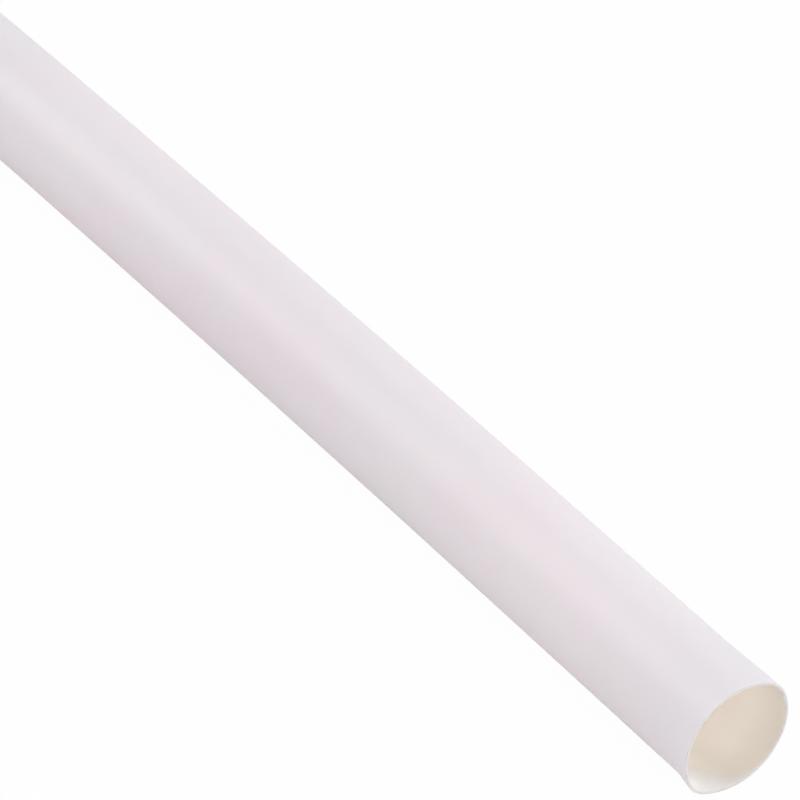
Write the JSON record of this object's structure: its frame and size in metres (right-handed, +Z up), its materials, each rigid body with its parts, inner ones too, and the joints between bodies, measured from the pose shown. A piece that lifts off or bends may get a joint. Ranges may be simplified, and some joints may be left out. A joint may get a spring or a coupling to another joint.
{
  "type": "heat shrink tube",
  "caption": "Straight thin-walled tube, open at both ends, that slides over a wire or joint and shrinks tight round it when heated.",
  "frame": {"origin": "on the floor under the middle of the tube", "axes": "+X along the tube towards the mouth that the picture shows, +Y towards the outer side of its slight bow, +Z up"},
  "size_m": [0.1524, 0.0138, 0.0133],
  "materials": {
    "tube": "satin white polyolefin, faintly pink, with a warmer cream bore"
  },
  "bodies": {
    "root": {"heat_shrink_tube": "tube"}
  },
  "joints": []
}
